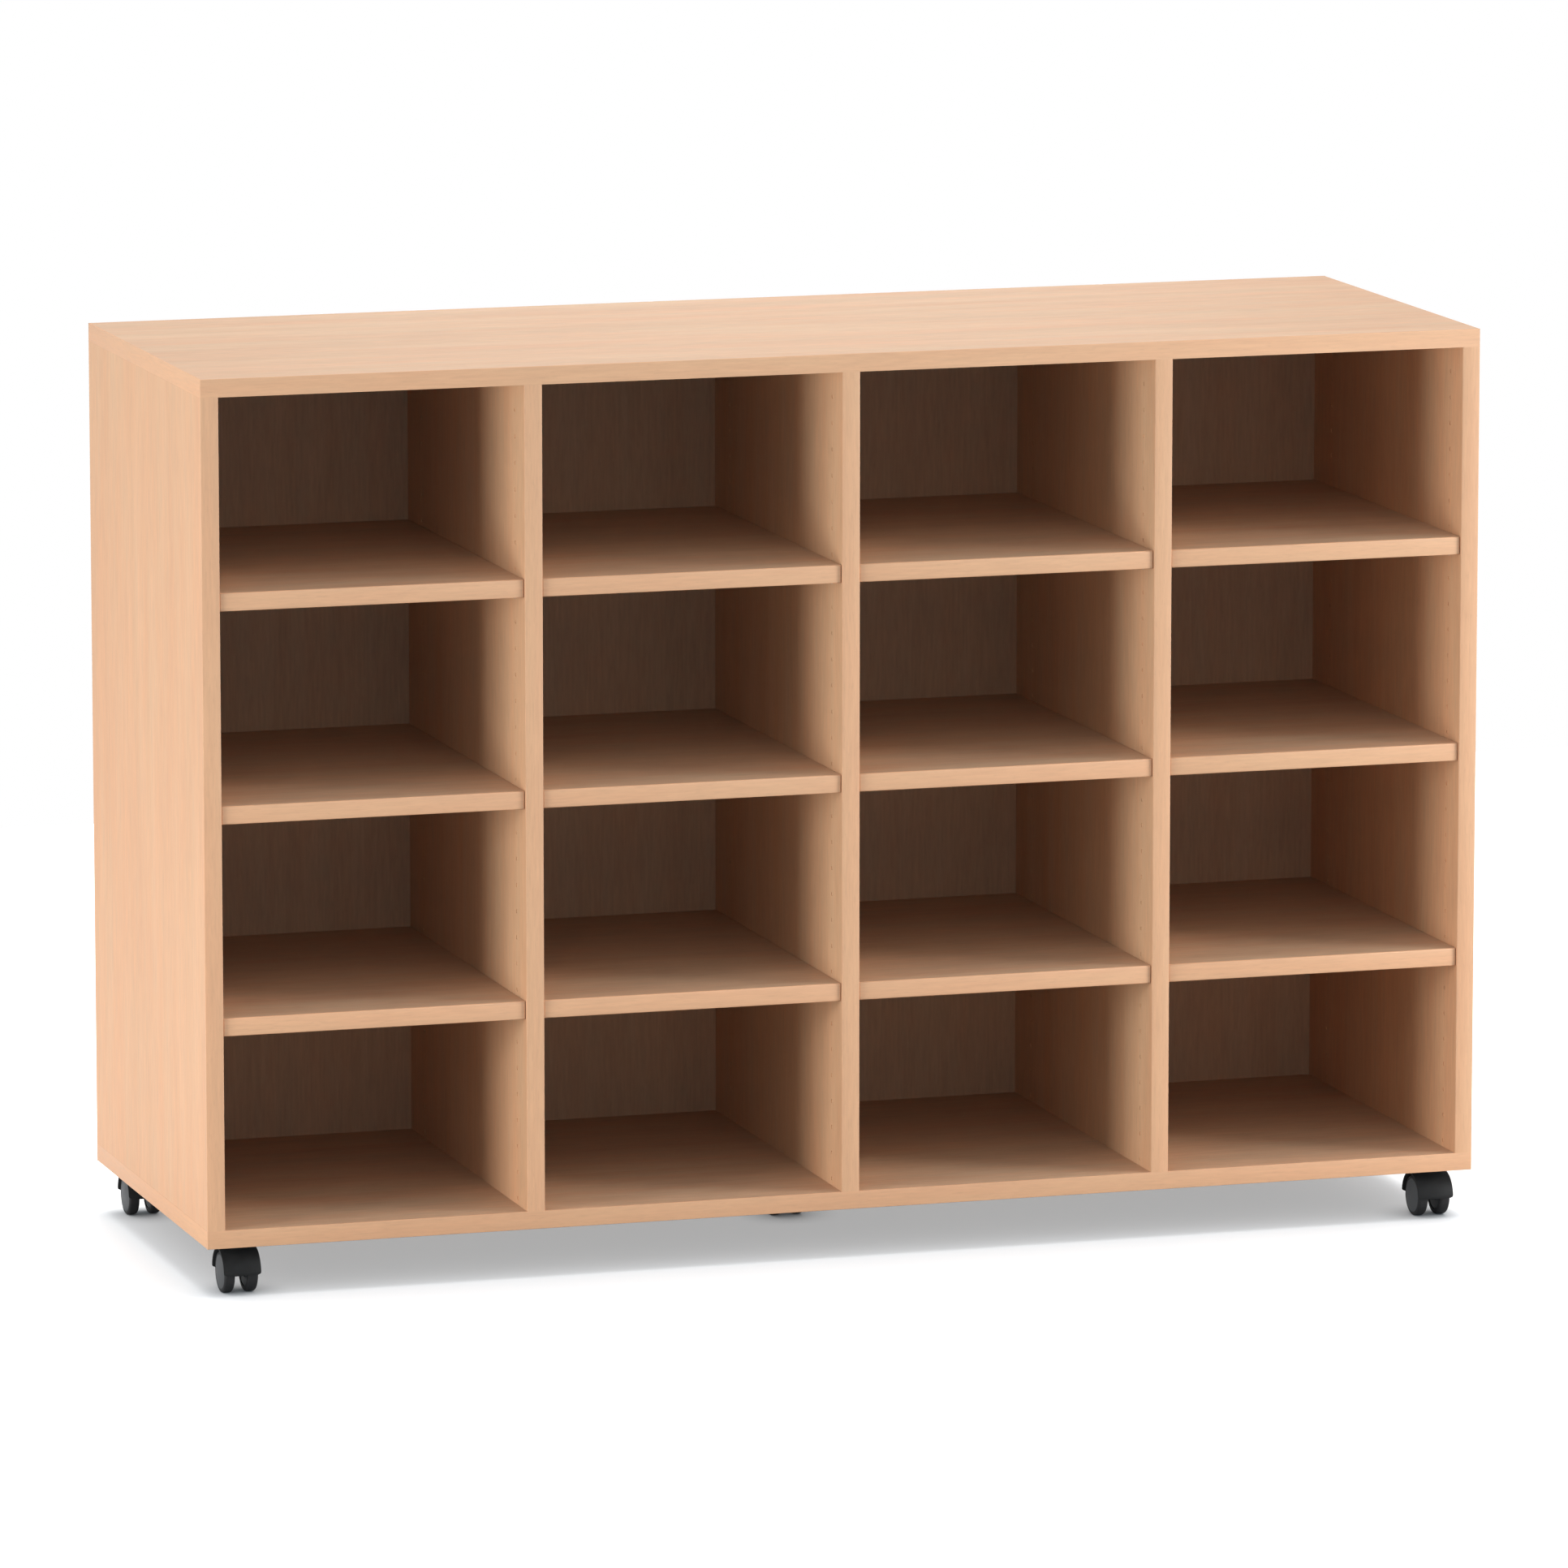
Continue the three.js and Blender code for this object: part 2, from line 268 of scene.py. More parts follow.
# Noise of each layer of the grain: stretch along the board, scale, detail and roughness
HUE_NOISE = (9.0, 28.0, 4.0, 0.6)
BAND_NOISE = (14.0, 22.0, 3.0, 0.55)
FIELD_NOISE = (9.0, 3.0, 1.0, 0.4)
STREAK_NOISE = (40.0, 110.0, 3.0, 0.6)
MOTTLE_NOISE = (9.0, 170.0, 2.0, 0.6)
FIBRE_NOISE = (14.0, 340.0, 2.0, 0.6)
FLECK_NOISE = (8.0, 640.0, 1.0, 0.4)

# How much each layer changes the brightness, and how many lines the figure has
BAND_WEIGHT = 0.16
FIGURE_WEIGHT = 0.03
STREAK_WEIGHT = 0.06
MOTTLE_WEIGHT = 0.14
FIBRE_WEIGHT = 0.36
FLECK_WEIGHT = 0.18
FIGURE_LINES = 60.0
FLECK_START = 0.58
FLECK_FULL = 0.76

# The surface of the boards
BEECH_SMOOTHEST = 0.54
BEECH_ROUGHEST = 0.62
BEECH_SPECULAR = 0.46
PORE_STRENGTH = 0.06
PORE_DEPTH = 0.0004
PIECE_SHIFT = (7.3, 11.9, 5.7)
BLACK = (0.0, 0.0, 0.0)
WHITE = (1.0, 1.0, 1.0)

# The surface of the plastic and the plated steel
RUB_SCALE = 90.0
RUB_SHARE = 0.65
ROUGH_SWING = 0.06
SPECKLE_STRENGTH = 0.12
SPECKLE_DEPTH = 0.0002
ZINC_DARK = (0.50, 0.51, 0.53)
ZINC_LIGHT = (0.66, 0.67, 0.68)
ZINC_SMOOTHEST = 0.26
ZINC_ROUGHEST = 0.42
CLOUD_SCALE = 160.0
SCRATCH_SCALE = 2400.0
SCRATCH_SQUEEZE = (1.0, 0.05, 1.0)


def beech(name, colours, grain_axis, strength, hue_middle, hue_spread):
    """Beech-look melamine: soft bands, a plain-sawn figure, fibres and short flecks along one axis."""
    material = bpy.data.materials.new(name)
    nodes = NodeTree(material)
    chance = nodes.add("ShaderNodeObjectInfo").outputs["Random"]
    shift = nodes.vector("MULTIPLY", chance, PIECE_SHIFT)
    place = nodes.vector("ADD", nodes.add("ShaderNodeTexCoord").outputs["Object"], shift)

    def layer(stretch, scale, detail, roughness):
        squeeze = [1.0, 1.0, 1.0]
        squeeze["XYZ".index(grain_axis)] = 1.0 / stretch
        return nodes.noise(nodes.vector("MULTIPLY", place, tuple(squeeze)), scale, detail, roughness)

    figure = nodes.math("SINE", nodes.math("MULTIPLY", layer(*FIELD_NOISE), FIGURE_LINES))
    tone = nodes.math("ADD", 1.0, nodes.math("MULTIPLY", figure, strength * FIGURE_WEIGHT / 2))
    fibres = layer(*FIBRE_NOISE)
    layers = [
        (layer(*BAND_NOISE), BAND_WEIGHT),
        (layer(*STREAK_NOISE), STREAK_WEIGHT),
        (layer(*MOTTLE_NOISE), MOTTLE_WEIGHT),
        (fibres, FIBRE_WEIGHT),
    ]
    for noise, weight in layers:
        swing = nodes.math("MULTIPLY", nodes.math("SUBTRACT", noise, 0.5), strength * weight)
        tone = nodes.math("ADD", tone, swing)
    straw_end, pink_end = hue_middle - hue_spread, hue_middle + hue_spread
    colour = nodes.ramp(layer(*HUE_NOISE), (straw_end, colours[0]), (pink_end, colours[1]))
    colour = nodes.mix(1.0, colour, tone, "MULTIPLY")
    fleck = nodes.ramp(layer(*FLECK_NOISE), (FLECK_START, BLACK), (FLECK_FULL, WHITE))
    colour = nodes.mix(nodes.math("MULTIPLY", fleck, FLECK_WEIGHT), colour, (*BEECH_DARK, 1.0))
    rough = nodes.rough_between(fibres, BEECH_SMOOTHEST, BEECH_ROUGHEST)
    bump = nodes.bump(fibres, PORE_STRENGTH, PORE_DEPTH)
    nodes.surface(colour, rough, bump, specular=BEECH_SPECULAR)
    return material


def moulded(name, low, high, roughness, grain, gloss):
    """Moulded plastic: a fine speckled surface, lighter in patches where it is rubbed."""
    material = bpy.data.materials.new(name)
    nodes = NodeTree(material)
    place = nodes.add("ShaderNodeTexCoord").outputs["Object"]
    fine = nodes.noise(place, grain, 2.0, 0.6)
    broad = nodes.noise(place, RUB_SCALE, 2.0, 0.5)
    speckle = nodes.math("MULTIPLY", fine, 1.0 - RUB_SHARE)
    tone = nodes.math("ADD", speckle, nodes.math("MULTIPLY", broad, RUB_SHARE))
    colour = nodes.ramp(tone, (0.35, low), (0.65, high))
    rough = nodes.rough_between(broad, roughness - ROUGH_SWING, roughness + ROUGH_SWING)
    bump = nodes.bump(fine, SPECKLE_STRENGTH, SPECKLE_DEPTH)
    nodes.surface(colour, rough, bump, specular=gloss)
    return material


def zinc(name):
    """Zinc-plated steel with a faint cloudy finish and fine scratches."""
    material = bpy.data.materials.new(name)
    nodes = NodeTree(material)
    place = nodes.add("ShaderNodeTexCoord").outputs["Object"]
    cloud = nodes.noise(place, CLOUD_SCALE, 3.0, 0.6)
    scratch = nodes.noise(nodes.vector("MULTIPLY", place, SCRATCH_SQUEEZE), SCRATCH_SCALE, 1.0, 0.5)
    colour = nodes.ramp(cloud, (0.3, ZINC_DARK), (0.7, ZINC_LIGHT))
    nodes.surface(colour, nodes.rough_between(scratch, ZINC_SMOOTHEST, ZINC_ROUGHEST), metallic=1.0)
    return material


# Colours, axis and strength of the grain, then the middle and the spread of the drift from straw to pink
# The middles of the drift are painted light too: the sides lean to pink to offset the cool light on them,
# and the back leans to straw to take the red out of the shade inside the compartments
BOARD_GRAIN = {
    "top": (TOP_SHEEN_COLOURS, "X", 1.2, 0.58, 0.20),
    "shelf": (SHELF_SHADE_COLOURS, "X", 1.2, 0.58, 0.20),
    "side": (SIDE_COLOURS, "Z", 0.9, 0.34, 0.26),
    "divider": (BOARD_COLOURS, "Z", 0.9, 0.50, 0.26),
    "back": (BOARD_COLOURS, "Z", 0.8, 0.64, 0.40),
}
EDGE_GRAIN = (0.6, 0.32, 0.40)
BEECH = {kind: beech(f"beech_{kind}", *grain) for kind, grain in BOARD_GRAIN.items()}
EDGE_BEECH = {axis: beech(f"edge_grain_{axis.lower()}", EDGE_COLOURS, axis, *EDGE_GRAIN) for axis in "XYZ"}
HOOD_PLASTIC = moulded("black_nylon", (0.008, 0.008, 0.008), (0.013, 0.013, 0.013), 0.60, 1500.0, 0.16)
DISC_PLASTIC = moulded("grey_nylon", (0.040, 0.041, 0.043), (0.058, 0.060, 0.062), 0.55, 1100.0, 0.25)
TYRE_PLASTIC = moulded("black_tread", (0.009, 0.009, 0.009), (0.014, 0.013, 0.014), 0.65, 1300.0, 0.25)
ZINC = zinc("zinc_steel")


# Mesh helpers

def add_piece(name, bm, material, body, crisp_degrees=None, replaces=()):
    """Turns a bmesh into an object that rides on a body and stands for CAD nodes."""
    bmesh.ops.recalc_face_normals(bm, faces=bm.faces)
    mesh = bpy.data.meshes.new(name)
    bm.to_mesh(mesh)
    bm.free()
    piece = bpy.data.objects.new(name, mesh)
    bpy.context.scene.collection.objects.link(piece)
    piece.data.materials.append(material)
    if crisp_degrees is not None:
        for polygon in mesh.polygons:
            polygon.use_smooth = True
        mesh.set_sharp_from_angle(angle=math.radians(crisp_degrees))
    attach(piece, body)
    if replaces:
        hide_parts(*replaces)
    return piece


def box(low, high):
    bm = bmesh.new()
    size = Vector(high) - Vector(low)
    middle = (Vector(high) + Vector(low)) / 2
    bmesh.ops.create_cube(bm, size=1.0, matrix=Matrix.Translation(middle) @ Matrix.Diagonal((*size, 1.0)))
    return bm


def round_edges(bm, chosen, radius, segments=3):
    edges = [edge for edge in bm.edges if chosen(edge)]
    bmesh.ops.bevel(bm, geom=edges, offset=radius, segments=segments, profile=0.5, affect="EDGES")


def on_plane(edge, axis, value):
    return all(abs(vertex.co[axis] - value) < SAME_PLACE for vertex in edge.verts)


def lathe(bm, profile, segments, frame_matrix, closed=True):
    """Turns (radius, along) points about the local Z axis of frame_matrix."""
    rings = []
    for radius, along in profile:
        if radius < SAME_PLACE:
            rings.append([bm.verts.new(frame_matrix @ Vector((0.0, 0.0, along)))])
            continue
        ring = []
        for step in range(segments):
            angle = 2.0 * math.pi * step / segments
            spot = Vector((radius * math.cos(angle), radius * math.sin(angle), along))
            ring.append(bm.verts.new(frame_matrix @ spot))
        rings.append(ring)
    pairs = list(zip(rings, rings[1:]))
    if closed:
        pairs.append((rings[-1], rings[0]))
    for first, second in pairs:
        for step in range(segments):
            corners = [first[step % len(first)], first[(step + 1) % len(first)]]
            corners += [second[(step + 1) % len(second)], second[step % len(second)]]
            unique = list(dict.fromkeys(corners))
            if len(unique) > 2:
                bm.faces.new(unique)


def arc(centre, radius, start, end, steps):
    """Points of a circular arc in a lathe profile, angles in degrees from the radius direction."""
    points = []
    for step in range(steps + 1):
        angle = math.radians(start + (end - start) * step / steps)
        points.append((centre[0] + radius * math.cos(angle), centre[1] + radius * math.sin(angle)))
    return points


# Boards: a core with edge bands glued on, on sides given as (axis, sign)
BAND_SIDES = {(0, -1): "left", (0, 1): "right", (1, -1): "front", (1, 1): "rear"}


def is_arris(edge, axis, outer, butts):
    """True for an edge of a strip's outer face that isn't against another board."""
    return on_plane(edge, axis, outer) and not any(on_plane(edge, 2, height) for height in butts)


def board(node, low, high, kind, bands, body, cutter=None, butts=(), band_round=BAND_ROUND):
    """A board with strips on its banded sides, whose edges stay square at the heights of butt joints."""
    low, high = Vector(low), Vector(high)
    core_low, core_high = low.copy(), high.copy()
    for axis, sign in bands:
        if sign < 0:
            core_low[axis] += BAND
        else:
            core_high[axis] -= BAND
    bm = box(core_low, core_high)
    banded = [(axis, core_low[axis] if sign < 0 else core_high[axis]) for axis, sign in bands]
    round_edges(bm, lambda edge: not any(on_plane(edge, *plane) for plane in banded), CORE_ROUND, segments=2)
    core = add_piece(node + "_core", bm, BEECH[kind], body, replaces=(node,))
    if cutter is not None:
        drill(core, cutter)
    for axis, sign in bands:
        strip_low, strip_high = core_low.copy(), core_high.copy()
        if axis == 1:
            strip_low.x, strip_high.x = low.x, high.x
        outer = low[axis] if sign < 0 else high[axis]
        strip_low[axis] = min(outer, outer - sign * BAND)
        strip_high[axis] = max(outer, outer - sign * BAND)
        strip = box(strip_low, strip_high)
        round_edges(strip, lambda edge: is_arris(edge, axis, outer, butts), band_round)
        length_axis = "XYZ"[max(range(3), key=lambda i: strip_high[i] - strip_low[i])]
        name = f"{node}_band_{BAND_SIDES[axis, sign]}"
        add_piece(name, strip, EDGE_BEECH[length_axis], body, BAND_CRISP)


def drill(piece, cutter):
    """Cuts the cutter's holes out of a piece for good."""
    modifier = piece.modifiers.new("holes", "BOOLEAN")
    modifier.operation = "DIFFERENCE"
    modifier.solver = "EXACT"
    modifier.object = cutter
    bpy.context.view_layer.update()
    drilled = bpy.data.meshes.new_from_object(piece.evaluated_get(bpy.context.evaluated_depsgraph_get()))
    piece.modifiers.clear()
    old = piece.data
    piece.data = drilled
    bpy.data.meshes.remove(old)
    bpy.data.objects.remove(cutter)


def hole_cutter(faces, rows, heights):
    """Short round bars along X, from start to end on each face, in every place of a hole."""
    bm = bmesh.new()
    radius = HOLE_DIAMETER / 2
    for start, end in faces:
        profile = [(0.0, 0.0), (radius, 0.0), (radius, end - start), (0.0, end - start)]
        for y in rows:
            for z in heights:
                turn = Matrix.Translation((start, y, z)) @ Matrix.Rotation(math.pi / 2, 4, "Y")
                lathe(bm, profile, PIN_SEGMENTS, turn, closed=False)
    bmesh.ops.recalc_face_normals(bm, faces=bm.faces)
    mesh = bpy.data.meshes.new("cutter")
    bm.to_mesh(mesh)
    bm.free()
    cutter = bpy.data.objects.new("cutter", mesh)
    bpy.context.scene.collection.objects.link(cutter)
    return cutter


top_low, top_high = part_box("top_panel")
base_low, base_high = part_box("base_panel")
back_low, back_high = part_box("back_panel")
FRONT, REAR = base_low.y, base_high.y
BASE_TOP, TOP_UNDER = base_high.z, top_low.z

ALL_ROUND = [(1, -1), (1, 1), (0, -1), (0, 1)]
BUTTS = (BASE_TOP, TOP_UNDER)
board("top_panel", top_low, top_high, "top", ALL_ROUND, "carcass", butts=BUTTS)
board("base_panel", base_low, base_high, "shelf", ALL_ROUND, "carcass", butts=BUTTS)

shelf_unders = [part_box(f"shelf_column1_level{level}")[0].z for level in range(1, LEVELS + 1)]
pin_heights = [under - SHELF_SEAT_GAP - HOLE_DIAMETER / 2 for under in shelf_unders]
hole_rows = [FRONT + HOLE_SETBACK, back_low.y - REAR_HOLE_SETBACK]
row_pitch = HOLE_PITCH * PITCHES_PER_ROW
hole_heights = []
for row in range(LEVELS + 1):
    start = pin_heights[0] + (row - 1) * row_pitch
    hole_heights += [start + step * HOLE_PITCH for step in range(1, PITCHES_PER_ROW)]

# The left face of each upright
upright_left = []
for name in UPRIGHTS:
    low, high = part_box(name)
    if name == "side_panel_left":
        upright_left.append(low.x)
    elif name == "side_panel_right":
        upright_left.append(high.x - BOARD)
    else:
        upright_left.append((low.x + high.x - BOARD) / 2)

for name, left in zip(UPRIGHTS, upright_left):
    is_side = name.startswith("side")
    low = (left, FRONT, BASE_TOP)
    high = (left + BOARD, REAR if is_side else back_low.y, TOP_UNDER)
    faces = []
    if name != "side_panel_left":
        faces.append((left - CUTTER_SPARE, left + CAP_RECESS))
    if name != "side_panel_right":
        faces.append((left + BOARD - CAP_RECESS, left + BOARD + CUTTER_SPARE))
    cutter = hole_cutter(faces, hole_rows, hole_heights)
    bands = [(1, -1), (1, 1)] if is_side else [(1, -1)]
    board(name, low, high, "side" if is_side else "divider", bands, "carcass", cutter, BUTTS)

# The back, let into its grooves
bm = box(back_low, back_high)
round_edges(bm, lambda edge: True, CORE_ROUND, segments=2)
add_piece("back_panel_core", bm, BEECH["back"], "carcass", replaces=("back_panel",))

# Shelves
for column in range(1, COLUMNS + 1):
    for level in range(1, LEVELS + 1):
        node = f"shelf_column{column}_level{level}"
        board(node, *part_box(node), "shelf", [(1, -1)], node, band_round=SHELF_BAND_ROUND)

# Shelf pins: a plain root in the hole, a thin flange against the board and a rounded support peg
PIN_RADIUS = HOLE_DIAMETER / 2
ROOT_RADIUS = PIN_RADIUS - PIN_FIT_GAP
PIN_PROFILE = [
    (0.0, -PIN_ROOT),
    (ROOT_RADIUS - PIN_TAPER, -PIN_ROOT),
    (ROOT_RADIUS, -PIN_ROOT + PIN_TAPER_LENGTH),
    (ROOT_RADIUS, 0.0),
    (FLANGE_RADIUS - FLANGE_ROUND, 0.0),
    (FLANGE_RADIUS, FLANGE_ROUND),
    (FLANGE_RADIUS, FLANGE_THICK - FLANGE_ROUND),
    (FLANGE_RADIUS - FLANGE_ROUND, FLANGE_THICK),
    (PIN_RADIUS, FLANGE_THICK),
    *arc((PIN_RADIUS - PIN_NOSE, PIN_REACH - PIN_NOSE), PIN_NOSE, 0.0, 90.0, PIN_NOSE_STEPS),
    (0.0, PIN_REACH),
]
for column in range(COLUMNS):
    left_face = upright_left[column] + BOARD
    right_face = upright_left[column + 1]
    for level, z in enumerate(pin_heights, 1):
        bm = bmesh.new()
        for y in hole_rows:
            for x, turn in ((left_face, math.pi / 2), (right_face, -math.pi / 2)):
                place = Matrix.Translation((x, y, z)) @ Matrix.Rotation(turn, 4, "Y")
                lathe(bm, PIN_PROFILE, PIN_SEGMENTS, place, closed=False)
        name = f"shelf_pins_column{column + 1}_level{level}"
        add_piece(name, bm, ZINC, "carcass", METAL_CRISP)


# Castors

def swept_hood(bm, centre):
    """The hood: half a tube over both wheels, with rounded lower corners and soft edges."""
    sections = []
    for step in range(HOOD_STEPS + 1):
        angle = math.pi * step / HOOD_STEPS
        from_edge = min(angle, math.pi - angle) * HOOD_OUTER
        rise = min(from_edge, HOOD_CORNER)
        half = HOOD_HALF_WIDTH - HOOD_CORNER + math.sqrt(HOOD_CORNER**2 - (HOOD_CORNER - rise) ** 2)
        cut = HOOD_SOFT_SHARE * HOOD_SOFT
        rim = [
            (HOOD_OUTER, half - HOOD_SOFT),
            (HOOD_OUTER - cut, half - cut),
            (HOOD_OUTER - HOOD_SOFT, half),
            (HOOD_INNER + HOOD_SOFT, half),
            (HOOD_INNER + cut, half - cut),
            (HOOD_INNER, half - HOOD_SOFT),
        ]
        profile = rim + [(radius, -x) for radius, x in reversed(rim)]
        sections.append([
            bm.verts.new(centre + Vector((x, radius * math.cos(angle), radius * math.sin(angle))))
            for radius, x in profile
        ])
    count = len(sections[0])
    for first, second in zip(sections, sections[1:]):
        for i in range(count):
            j = (i + 1) % count
            bm.faces.new((first[i], first[j], second[j], second[i]))
    bm.faces.new(sections[0])
    bm.faces.new(sections[-1])


def swept_web(bm, centre):
    """The web between the wheels: half a disc, with a round boss below it at the axle."""
    radius = (HOOD_INNER + HOOD_OUTER) / 2
    outline = []
    for step in range(WEB_STEPS + 1):
        angle = math.pi * step / WEB_STEPS
        outline.append((radius * math.cos(angle), radius * math.sin(angle)))
    for step in range(WEB_STEPS // 2 + 1):
        angle = math.pi + 2.0 * math.pi * step / WEB_STEPS
        outline.append((WEB_BOSS_RADIUS * math.cos(angle), WEB_BOSS_RADIUS * math.sin(angle)))
    rings = []
    for x in (-WEB_HALF_WIDTH, WEB_HALF_WIDTH):
        rings.append([bm.verts.new(centre + Vector((x, y, z))) for y, z in outline])
    bm.faces.new(rings[0])
    bm.faces.new(rings[1])
    count = len(outline)
    for i in range(count):
        j = (i + 1) % count
        bm.faces.new((rings[0][i], rings[0][j], rings[1][j], rings[1][i]))


def tyre_profile():
    """Half section of the tread ring, (radius, along the axle)."""
    edge = WHEEL_EDGE
    shoulder = WHEEL_RADIUS - edge
    inner, outer = WHEEL_INNER_FACE, WHEEL_OUTER_FACE
    return [
        (TYRE_BORE - TYRE_LIP, inner + TYRE_LIP_DEPTH),
        (TYRE_BORE, inner),
        *arc((shoulder, inner + edge), edge, -90.0, 0.0, WHEEL_EDGE_STEPS),
        *arc((shoulder, outer - edge), edge, 0.0, 90.0, WHEEL_EDGE_STEPS),
        (DISC_RADIUS, outer - DISC_RECESS),
        (DISC_RADIUS - TYRE_SEAT_STEP, outer - TYRE_SEAT_DEPTH),
    ]


def disc_profile():
    """Half section of the wheel body: hub, dished inner side and domed outer face."""
    inner, outer = WHEEL_INNER_FACE, WHEEL_OUTER_FACE
    rim = DISC_RADIUS - DISC_GAP
    return [
        (0.0, inner + HUB_BORE_DEPTH),
        (HUB_BORE, inner + HUB_BORE_DEPTH),
        (HUB_BORE, inner + HUB_ROUND),
        (HUB_BORE + HUB_ROUND, inner),
        (HUB_RADIUS, inner),
        (HUB_RADIUS + HUB_ARRIS, inner + HUB_ARRIS),
        (HUB_RADIUS + HUB_FOOT, inner + INNER_DISH),
        (DISH_RADIUS, inner + INNER_DISH),
        (DISH_EDGE_RADIUS, inner + DISH_EDGE_DEPTH),
        (rim, outer - DISC_EDGE_DEPTH),
        (rim, outer - DISC_RECESS),
        (rim - DISC_ARRIS, outer - DISC_ARRIS_DEPTH),
        *[(radius, outer + share * WHEEL_DOME) for radius, share in DOME_POINTS],
    ]


def plate_mesh(name, stem):
    """The plate with rounded corners, its bearing cup, the swivel stem and four pan-head screws."""
    low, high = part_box(f"{name}_plate")
    under = high.z - PLATE_THICK
    bm = box((low.x, low.y, under), high)
    round_edges(bm, lambda edge: not on_plane(edge, 2, edge.verts[0].co.z), PLATE_CORNER, segments=6)
    round_edges(bm, lambda edge: on_plane(edge, 2, under), PLATE_ARRIS, segments=2)
    upright = Matrix.Translation(stem)
    cup_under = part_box(f"{name}_housing")[1].z + CUP_GAP
    cup_heights = (under + SINK, under - CUP_EDGE, cup_under + CUP_EDGE, cup_under)
    cup = [(0.0, under + SINK), *zip(CUP_RADII, cup_heights), (0.0, cup_under)]
    lathe(bm, cup, CUP_SEGMENTS, upright, closed=False)
    stem_under = WHEEL_RADIUS + STEM_SEAT
    rod = [
        (0.0, cup_under + 2 * SINK),
        (STEM_RADIUS, cup_under + 2 * SINK),
        (STEM_RADIUS, stem_under + STEM_ROUND),
        (STEM_RADIUS - STEM_ROUND, stem_under),
        (0.0, stem_under),
    ]
    lathe(bm, rod, ROD_SEGMENTS, upright, closed=False)
    screw = [(radius, under - depth) for radius, depth in SCREW_POINTS]
    reach = (high.x - low.x) / 2 - SCREW_INSET
    for dx in (-reach, reach):
        for dy in (-reach, reach):
            spot = Matrix.Translation(stem + Vector((dx, dy, 0.0)))
            lathe(bm, screw, SCREW_SEGMENTS, spot, closed=False)
    return bm


def housing_mesh(name, stem, axle):
    """The hood, the web between the wheels and the collar that takes the stem."""
    bm = bmesh.new()
    swept_hood(bm, axle)
    swept_web(bm, axle)
    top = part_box(f"{name}_housing")[1].z
    collar = [
        (COLLAR_BORE, top - COLLAR_DEPTH),
        (COLLAR_BORE, top),
        (COLLAR_RADIUS - COLLAR_ARRIS, top),
        (COLLAR_RADIUS - COLLAR_TAPER, top - COLLAR_ARRIS_DEPTH),
        (COLLAR_RADIUS, top - COLLAR_DEPTH),
    ]
    lathe(bm, collar, COLLAR_SEGMENTS, Matrix.Translation(stem))
    return bm


def axle_mesh(name, axle):
    low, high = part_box(f"{name}_axle")
    half = (high.x - low.x) / 2
    rod = [
        (0.0, -half),
        (AXLE_RADIUS - AXLE_CHAMFER, -half),
        (AXLE_RADIUS, -half + AXLE_CHAMFER),
        (AXLE_RADIUS, half - AXLE_CHAMFER),
        (AXLE_RADIUS - AXLE_CHAMFER, half),
        (0.0, half),
    ]
    bm = bmesh.new()
    along_x = Matrix.Translation(axle) @ Matrix.Rotation(math.pi / 2, 4, "Y")
    lathe(bm, rod, ROD_SEGMENTS, along_x, closed=False)
    return bm


def castor(place):
    """One castor: a plate on the carcass, hood and axle on the fork, and two wheels that roll alone."""
    name = f"castor_{place}"
    fork = f"{name}_fork"
    plate_low, plate_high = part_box(f"{name}_plate")
    stem = Vector(((plate_low.x + plate_high.x) / 2, (plate_low.y + plate_high.y) / 2, 0.0))
    axle = stem + Vector((0.0, -TRAIL, WHEEL_RADIUS))
    bm = plate_mesh(name, stem)
    add_piece(f"{name}_plate_detail", bm, ZINC, "carcass", METAL_CRISP, (f"{name}_plate",))
    bm = housing_mesh(name, stem, axle)
    add_piece(f"{name}_hood", bm, HOOD_PLASTIC, fork, HOOD_CRISP, (f"{name}_housing",))
    bm = axle_mesh(name, axle)
    add_piece(f"{name}_axle_rod", bm, ZINC, fork, METAL_CRISP, (f"{name}_axle",))
    for side, turn in (("left", -math.pi / 2), ("right", math.pi / 2)):
        outward = Matrix.Translation(axle) @ Matrix.Rotation(turn, 4, "Y")
        roller = f"{name}_roller_{side}"
        wheel = f"{name}_wheel_{side}"
        bm = bmesh.new()
        lathe(bm, disc_profile(), WHEEL_SEGMENTS, outward, closed=False)
        add_piece(f"{name}_disc_{side}", bm, DISC_PLASTIC, roller, WHEEL_CRISP, (wheel,))
        bm = bmesh.new()
        lathe(bm, tyre_profile(), WHEEL_SEGMENTS, outward)
        add_piece(f"{name}_tyre_{side}", bm, TYRE_PLASTIC, roller, WHEEL_CRISP)


for place in CASTORS:
    castor(place)


# Stage: a white floor that keeps the shadow, a pale world and soft lamps
FLOOR_HALF = 3.0
FLOOR_LIT = (0.60, 0.60, 0.60, 1.0)
FLOOR_BOUNCE = (0.30, 0.30, 0.30, 1.0)
# The floor's glow for the camera, the grey left in the object's shadow; within CONTACT_REACH of the object
# it is dimmed as painted contact shade
FLOOR_SHADOW_LEVEL = 0.39
CONTACT_REACH = 0.045
CONTACT_SAMPLES = 8
PLAIN_WHITE = (1.0, 1.0, 1.0, 1.0)

# The world is dim and cool up to the first height and bright from the second, as sines of the elevation
HORIZON = (0.000, 0.300, 0.520)
SKY = (1.04, 1.06, 1.09)
HORIZON_HEIGHT = 0.16
SKY_HEIGHT = 0.50


